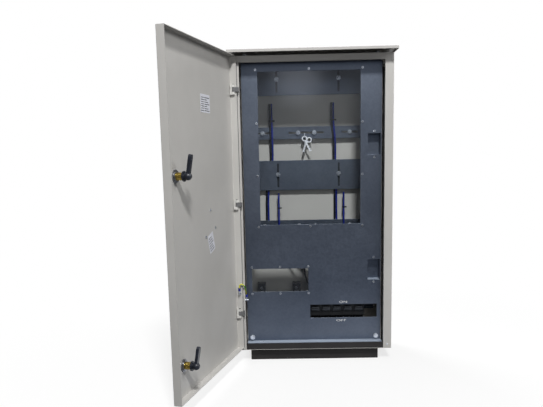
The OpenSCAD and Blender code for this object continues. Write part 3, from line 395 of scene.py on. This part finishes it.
def repeat_tree(name, sizes, shape):
    """A tree that sets one shape on each point, faces it, spins it at random and gives it a finish."""
    tree = bpy.data.node_groups.new(name, "GeometryNodeTree")
    sockets = {"Points": "NodeSocketGeometry", "Facing": "NodeSocketVector", "Finish": "NodeSocketMaterial",
               **{size: "NodeSocketFloat" for size in ("Spin", *sizes)}}
    for socket, kind in sockets.items():
        tree.interface.new_socket(socket, in_out="INPUT", socket_type=kind)
    tree.interface.new_socket("Geometry", in_out="OUTPUT", socket_type="NodeSocketGeometry")
    given = add(tree, "NodeGroupInput").outputs
    spin = add(tree, "FunctionNodeRandomValue", {"data_type": "FLOAT"}, {2: 0.0, 3: given["Spin"], "Seed": 7})
    turn = add(tree, "ShaderNodeCombineXYZ", None, {"Y": spin.outputs[1]})
    facing = add(tree, "ShaderNodeVectorMath", {"operation": "ADD"},
                 {0: given["Facing"], 1: turn.outputs["Vector"]})
    each = add(tree, "GeometryNodeInstanceOnPoints", None,
               {"Points": given["Points"], "Instance": shape(tree, given),
                "Rotation": facing.outputs["Vector"]})
    real = add(tree, "GeometryNodeRealizeInstances", None, {"Geometry": each.outputs["Instances"]})
    done = add(tree, "GeometryNodeSetMaterial", None,
               {"Geometry": real.outputs["Geometry"], "Material": given["Finish"]})
    add(tree, "NodeGroupOutput", None, {"Geometry": done.outputs["Geometry"]})
    return tree


def dome(tree, given):
    """A domed head, which is sunk into its sheet to its middle."""
    ball = add(tree, "GeometryNodeMeshUVSphere", None, {"Segments": 20, "Rings": 10, "Radius": 1.0})
    size = add(tree, "ShaderNodeCombineXYZ", None,
               {"X": given["Head radius"], "Y": given["Head radius"], "Z": given["Head height"]})
    head = add(tree, "GeometryNodeTransform", None,
               {"Geometry": ball.outputs["Mesh"], "Scale": size.outputs["Vector"]})
    return add(tree, "GeometryNodeSetShadeSmooth", None, {0: head.outputs["Geometry"]}).outputs[0]


def cross(tree, given):
    """The cross of a screw's recess, as two crossed bars."""
    size = add(tree, "ShaderNodeCombineXYZ", None,
               {"X": given["Arm length"], "Y": given["Arm width"], "Z": given["Thickness"]})
    bar = add(tree, "GeometryNodeMeshCube", None, {"Size": size.outputs["Vector"]}).outputs["Mesh"]
    other = add(tree, "GeometryNodeTransform", None, {"Geometry": bar, "Rotation": (0.0, 0.0, math.pi / 2)})
    both = add(tree, "GeometryNodeJoinGeometry", None, {"Geometry": bar})
    tree.links.new(other.outputs["Geometry"], both.inputs["Geometry"])
    return both.outputs["Geometry"]


def repeat(name, tree, points, values):
    """Runs a tree on some points, and keeps its plain mesh as a piece of the cabinet."""
    mesh = bpy.data.meshes.new(name + "_points")
    mesh.from_pydata(points, [], [])
    holder = bpy.data.objects.new(name + "_points", mesh)
    bpy.context.scene.collection.objects.link(holder)
    run = holder.modifiers.new(name, "NODES")
    run.node_group = tree
    for item in tree.interface.items_tree:
        if item.in_out == "INPUT" and item.name in values:
            run[item.identifier] = values[item.name]
    made = bpy.data.meshes.new_from_object(holder.evaluated_get(bpy.context.evaluated_depsgraph_get()))
    made.name = name
    holder.modifiers.remove(run)
    bpy.data.objects.remove(holder)
    mesh_piece(name, made, values["Finish"], "cabinet")


def solids_of(mesh):
    """The low and high corners of the box round each separate solid of a mesh."""
    bm = bmesh.new()
    bm.from_mesh(mesh)
    bmesh.ops.remove_doubles(bm, verts=bm.verts, dist=1e-6)
    left, boxes = set(bm.verts), []
    while left:
        open_ends = [left.pop()]
        solid = []
        while open_ends:
            vert = open_ends.pop()
            solid.append(vert.co.copy())
            linked = {edge.other_vert(vert) for edge in vert.link_edges} & left
            left -= linked
            open_ends += linked
        boxes.append([Vector(map(pick, zip(*solid))) for pick in (min, max)])
    bm.free()
    return boxes


UPWARD, FRONT = (0.0, 0.0, 0.0), (math.pi / 2, 0.0, 0.0)
LIP_RIVET_XS = (-0.180, -0.1705, 0.1705, 0.180)
CORNER_SCREW_X, CORNER_SCREW_Z = 0.236, 0.0525
head_tree = repeat_tree("domed_heads", ("Head radius", "Head height"), dome)
repeat("lip_rivets", head_tree, [(x, LIP_RIVET_Y, PANEL_LIP_TOP) for x in LIP_RIVET_XS],
       {"Facing": UPWARD, "Finish": FINISHES["zinc_fastener"],
        "Head radius": 0.0024, "Head height": 0.0013})
repeat("corner_screws", head_tree,
       [(x, BODY_FRONT_Y, CORNER_SCREW_Z) for x in (-CORNER_SCREW_X, CORNER_SCREW_X)],
       {"Facing": FRONT, "Finish": FINISHES["zinc_fastener"],
        "Head radius": 0.0034, "Head height": 0.0018})
recess_points = [((low.x + high.x) / 2, low.y, (low.z + high.z) / 2)
                 for low, high in solids_of(frame["nodes"]["panel_screws"].data)]
cross_tree = repeat_tree("screw_crosses", ("Arm length", "Arm width", "Thickness"), cross)
repeat("screw_recesses", cross_tree, recess_points,
       {"Facing": FRONT, "Finish": recess_shade, "Spin": math.pi / 2,
        "Arm length": 0.0036, "Arm width": 0.0009, "Thickness": 0.0001})


# Flat pieces: nut strips, printed words and labels

def flat_mesh(name, rectangles, depth):
    """Thin plates in the plane of x and z, each from (x, z, width, height), with the front towards -y."""
    bm = bmesh.new()
    for x, z, w, h in rectangles:
        verts = bmesh.ops.create_cube(bm, size=1.0)["verts"]
        for v in verts:
            v.co = Vector((x + (v.co.x + 0.5) * w, (v.co.y + 0.5) * depth, z + (v.co.z + 0.5) * h))
    return from_bmesh(name, bm)


# A black strip lies behind each slot of the hanger plates: a nut strip whose black also paints shade into the
# slots, in two lengths with the nut between them
STRIP_W, STRIP_T, STRIP_GAP, SLOT_HALF, NUT_ROOM = 0.016, 0.001, 0.0003, 0.042, 0.0065
screw_boxes = solids_of(frame["nodes"]["meter_screws"].data)
for height in ("upper", "lower"):
    plate_low, plate_high = solids_of(frame["nodes"][height + "_hanger_plate"].data)[0]
    slot_low, slot_high = ((plate_low.z + plate_high.z) / 2 + end for end in (-SLOT_HALF, SLOT_HALF))
    strips = []
    for low, high in screw_boxes:
        x, z = (low.x + high.x) / 2, (low.z + high.z) / 2
        if plate_low.z < z < plate_high.z:
            strips.append((x - STRIP_W / 2, slot_low, STRIP_W, z - NUT_ROOM - slot_low))
            strips.append((x - STRIP_W / 2, z + NUT_ROOM, STRIP_W, slot_high - z - NUT_ROOM))
    strip_mesh = flat_mesh(height + "_nut_shade_strips", strips, STRIP_T)
    strip_mesh.transform(Matrix.Translation((0, plate_high.y + STRIP_GAP, 0)))
    mesh_piece(height + "_nut_shade_strips", strip_mesh, FINISHES["moulded_black"], "cabinet")


# A capital letter's share of the font's size, the thickness of the print and its place before the panel
CAP_SHARE, PRINT_T, PRINT_OUT = 0.69, 0.00004, 0.00005


def word(name, text, height, width, x, z):
    """A word in wide letters, printed on the panel's face."""
    curve = bpy.data.curves.new(name, "FONT")
    curve.body = text
    curve.size = height / CAP_SHARE
    curve.align_x, curve.align_y = "CENTER", "CENTER"
    curve.extrude = PRINT_T
    holder = bpy.data.objects.new(name, curve)
    bpy.context.scene.collection.objects.link(holder)
    bpy.context.view_layer.update()
    mesh = bpy.data.meshes.new_from_object(holder.evaluated_get(bpy.context.evaluated_depsgraph_get()))
    holder_width = holder.dimensions.x
    bpy.data.objects.remove(holder)
    mesh.name = name
    wide = Matrix.Diagonal((width / holder_width, 1.0, 1.0, 1.0))
    upright = Matrix.Rotation(math.pi / 2, 4, "X")
    mesh.transform(Matrix.Translation((x, PANEL_FACE_Y - PRINT_OUT, z)) @ upright @ wide)
    mesh_piece(name, mesh, panel_ink, "cabinet")


word("printed_on", "ON", 0.0066, 0.026, 0.0966, 0.1884)
word("printed_off", "OFF", 0.0066, 0.032, 0.0901, 0.1262)


PAPER_T, ROW_T, ROW_OUT = 0.00015, 0.0001, 0.00022
# A row's two columns as shares of the ruled width, and its height as a share of the rows' pitch
FIRST_W, SECOND_FROM, SECOND_W, SECOND_STEP, ROW_SHARE = 0.36, 0.42, 0.58, 0.14, 0.42


def door_sheet(name, u, z, width, height, tilt, rows, margin):
    """A paper sheet with ruled rows inside the door; u runs from the hinge edge to the sheet's middle."""
    place = (SHUT_TO_OPEN @ Matrix.Translation((DOOR_EDGE_X + u, DOOR_SKIN_Y, z))
             @ Matrix.Rotation(math.pi, 4, "Z") @ Matrix.Rotation(math.radians(tilt), 4, "Y"))
    plate = flat_mesh(name, [(-width / 2, -height / 2, width, height)], PAPER_T)
    plate.transform(place @ Matrix.Translation((0, -PAPER_T, 0)))
    mesh_piece(name, plate, paper, "door")
    left, ruled = -width / 2 + margin, width - 2 * margin
    pitch = (height - 2 * margin) / rows
    lines = []
    for k in range(rows):
        low = -height / 2 + margin + k * pitch
        lines.append((left, low, ruled * FIRST_W, pitch * ROW_SHARE))
        lines.append((left + ruled * SECOND_FROM, low,
                      ruled * (SECOND_W - SECOND_STEP * (k % 3)), pitch * ROW_SHARE))
    ink = flat_mesh(name + "_rows", lines, ROW_T)
    ink.transform(place @ Matrix.Translation((0, -ROW_OUT, 0)))
    mesh_piece(name + "_rows", ink, label_ink, "door")


door_sheet("door_label", 0.2107, 0.8135, 0.0675, 0.049, 0, 7, 0.004)
door_sheet("loose_sheet", 0.202, 0.4255, 0.041, 0.054, -18, 6, 0.005)


# Camera: where the photograph was taken from, with part of its shift; other views keep the shift, and
# more of it would cut off more of the cabinet's foot there
FOCAL_PX, IMAGE_W, SENSOR_MM = 613.3, 543, 36
CAMERA_PLACE, CAMERA_SHIFT = (-0.0952, -2.0495, 0.6644), 0.1
YAW, PITCH, ROLL = (math.radians(a) for a in (-1.19, 9.33, 1.23))
forward = Vector((math.sin(YAW) * math.cos(PITCH), math.cos(YAW) * math.cos(PITCH), -math.sin(PITCH)))
level = Vector((math.cos(YAW), -math.sin(YAW), 0.0))
down = forward.cross(level)
right = math.cos(ROLL) * level + math.sin(ROLL) * down
up = -(forward.cross(right))
lens = bpy.data.cameras.new("camera")
lens.lens = FOCAL_PX * SENSOR_MM / IMAGE_W
lens.shift_y = CAMERA_SHIFT
camera = bpy.data.objects.new("camera", lens)
bpy.context.scene.collection.objects.link(camera)
camera.matrix_world = (Matrix.Translation(CAMERA_PLACE)
                       @ Matrix((right, up, -forward)).transposed().to_4x4())
bpy.context.scene.camera = camera


# Light and floor

def softbox(name, place, target, size, power):
    """A square lamp that faces a point."""
    lamp = bpy.data.lights.new(name, "AREA")
    lamp.size = size
    lamp.energy = power
    holder = bpy.data.objects.new(name, lamp)
    bpy.context.scene.collection.objects.link(holder)
    holder.location = place
    holder.rotation_mode = "QUATERNION"
    holder.rotation_quaternion = (Vector(target) - Vector(place)).to_track_quat("-Z", "Y")
    return holder


softbox("key_softbox", (0.3, -3.2, 3.6), (0, -0.1, 0.6), 0.4, 158)
softbox("right_softbox", (2.9, -1.05, 2.4), (-0.3, -0.3, 0.6), 1.4, 44)
softbox("back_softbox", (-1.7, 2.3, 2.4), (0, 0, 0.5), 1.6, 85)
# A weak lamp in front lightens the inside behind the windows, and the zinc doesn't mirror it
fill = softbox("fill_softbox", (0.5, -3.0, 0.8), (0, 0.1, 0.45), 0.8, 8)
fill.visible_glossy = False

# Dim cards behind the camera and on the floor, seen only by reflections, keep the zinc from mirroring
# the white studio; they are brighter high up, near the cabinet and round one spot that stands for a lamp
CARD_BACK, CARD_FRONT, CARD_TOP, CARD_SIDE, CARD_LOW = -3.4, -0.3, 1.5, 3.0, 0.001
CARD_LAMP = (0.045, CARD_BACK, 1.3)
card_mesh = bpy.data.meshes.new("dim_cards")
card_mesh.from_pydata(
    [(x, CARD_BACK, z) for z in (CARD_LOW, CARD_TOP) for x in (-CARD_SIDE, CARD_SIDE)]
    + [(x, CARD_FRONT, CARD_LOW) for x in (-CARD_SIDE, CARD_SIDE)], [], [(0, 1, 3, 2), (4, 5, 1, 0)])
card = bpy.data.objects.new("dim_cards", card_mesh)
bpy.context.scene.collection.objects.link(card)
card_paint = bpy.data.materials.new("dim_card")
card_paint.use_nodes = True
card_tree = card_paint.node_tree
card_tree.nodes.remove(card_tree.nodes["Principled BSDF"])
card_place = add(card_tree, "ShaderNodeTexCoord").outputs["Object"]
card_spot = add(card_tree, "ShaderNodeSeparateXYZ", None, {"Vector": card_place})
card_high = add(card_tree, "ShaderNodeMapRange", {"interpolation_type": "SMOOTHSTEP"},
                {"Value": card_spot.outputs["Z"], "From Min": 0.4, "From Max": 1.3,
                 "To Min": 0.05, "To Max": 1.0})
card_mid = add(card_tree, "ShaderNodeMapRange", {"interpolation_type": "SMOOTHSTEP"},
               {"Value": card_spot.outputs["Y"], "From Min": -2.0, "From Max": -1.0,
                "To Min": 0.0, "To Max": 0.6})
card_near = add(card_tree, "ShaderNodeMapRange", {"interpolation_type": "SMOOTHSTEP"},
                {"Value": card_spot.outputs["Y"], "From Min": -0.44, "From Max": -0.33,
                 "To Min": 0.0, "To Max": 1.7})
card_floor = add(card_tree, "ShaderNodeMath", {"operation": "ADD"},
                 {0: card_mid.outputs["Result"], 1: card_near.outputs["Result"]})
card_lamp = add(card_tree, "ShaderNodeVectorMath", {"operation": "DISTANCE"}, {0: card_place, 1: CARD_LAMP})
card_bright = add(card_tree, "ShaderNodeMapRange", {"interpolation_type": "SMOOTHSTEP"},
                  {"Value": card_lamp.outputs["Value"], "From Min": 0.05, "From Max": 0.3,
                   "To Min": 2.5, "To Max": 0.0})
card_light = add(card_tree, "ShaderNodeMath", {"operation": "ADD"},
                 {0: card_high.outputs["Result"], 1: card_floor.outputs["Value"]})
card_light = add(card_tree, "ShaderNodeMath", {"operation": "ADD"},
                 {0: card_light.outputs["Value"], 1: card_bright.outputs["Result"]})
card_glow = add(card_tree, "ShaderNodeEmission", None,
                {"Color": linear("#c8cfdc"), "Strength": card_light.outputs["Value"]})
card_tree.links.new(card_glow.outputs[0], card_tree.nodes["Material Output"].inputs["Surface"])
card_mesh.materials.append(card_paint)
card.visible_camera = card.visible_diffuse = card.visible_shadow = card.visible_transmission = False
card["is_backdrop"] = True

world = bpy.data.worlds.new("studio")
bpy.context.scene.world = world
world.use_nodes = True
sky = world.node_tree
for old in list(sky.nodes):
    sky.nodes.remove(old)
seen = add(sky, "ShaderNodeLightPath")
either = add(sky, "ShaderNodeMath", {"operation": "MAXIMUM"},
             {0: seen.outputs["Is Camera Ray"], 1: seen.outputs["Is Transmission Ray"]})
# Reflections see the sky at half its brightness, so that the roof stands out from it
half = add(sky, "ShaderNodeMath", {"operation": "MULTIPLY"}, {0: seen.outputs["Is Glossy Ray"], 1: 0.5})
either = add(sky, "ShaderNodeMath", {"operation": "MAXIMUM"}, {0: either.outputs[0], 1: half.outputs[0]})
soft = add(sky, "ShaderNodeBackground", None, {"Color": linear("#e6eaf2"), "Strength": 0.14})
white = add(sky, "ShaderNodeBackground", None, {"Color": (1, 1, 1, 1), "Strength": 1.0})
both = add(sky, "ShaderNodeMixShader", None, {0: either.outputs[0], 1: soft.outputs[0], 2: white.outputs[0]})
add(sky, "ShaderNodeOutputWorld", None, {"Surface": both.outputs[0]})

REACH = 12.0
floor_mesh = bpy.data.meshes.new("studio_floor")
floor_mesh.from_pydata([(-REACH, -REACH, 0), (REACH, -REACH, 0), (REACH, REACH, 0), (-REACH, REACH, 0)], [],
                       [(0, 1, 2, 3)])
floor = bpy.data.objects.new("studio_floor", floor_mesh)
bpy.context.scene.collection.objects.link(floor)
floor_paint = bpy.data.materials.new("pale_floor")
floor_paint.use_nodes = True
tree = floor_paint.node_tree
for old in list(tree.nodes):
    tree.nodes.remove(old)
seen = add(tree, "ShaderNodeLightPath")
either = add(tree, "ShaderNodeMath", {"operation": "MAXIMUM"},
             {0: seen.outputs["Is Camera Ray"], 1: seen.outputs["Is Transmission Ray"]})
either = add(tree, "ShaderNodeMath", {"operation": "MAXIMUM"},
             {0: either.outputs[0], 1: seen.outputs["Is Glossy Ray"]})
lit = add(tree, "ShaderNodeBsdfDiffuse", None, {"Color": linear("#f2f2f1")})
glow = add(tree, "ShaderNodeEmission", None, {"Color": (1, 1, 1, 1), "Strength": 1.0})
# The floor turns from a lit surface near the cabinet to plain white further out
spot = add(tree, "ShaderNodeTexCoord").outputs["Object"]
out = add(tree, "ShaderNodeVectorMath", {"operation": "LENGTH"}, {0: spot})
share = add(tree, "ShaderNodeMapRange", {"interpolation_type": "SMOOTHSTEP"},
            {"Value": out.outputs["Value"], "From Min": 0.35, "From Max": 1.3, "To Min": 0.72, "To Max": 1.0})
pale = add(tree, "ShaderNodeMixShader", None,
           {0: share.outputs["Result"], 1: lit.outputs[0], 2: glow.outputs[0]})
# Light that bounces off the floor is kept dim
dull = add(tree, "ShaderNodeBsdfDiffuse", None, {"Color": linear("#2c2c2c")})
both = add(tree, "ShaderNodeMixShader", None, {0: either.outputs[0], 1: dull.outputs[0], 2: pale.outputs[0]})
add(tree, "ShaderNodeOutputMaterial", None, {"Surface": both.outputs[0]})
floor_mesh.materials.append(floor_paint)
floor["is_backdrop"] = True

bpy.context.scene.view_settings.view_transform = "Standard"

low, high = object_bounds()
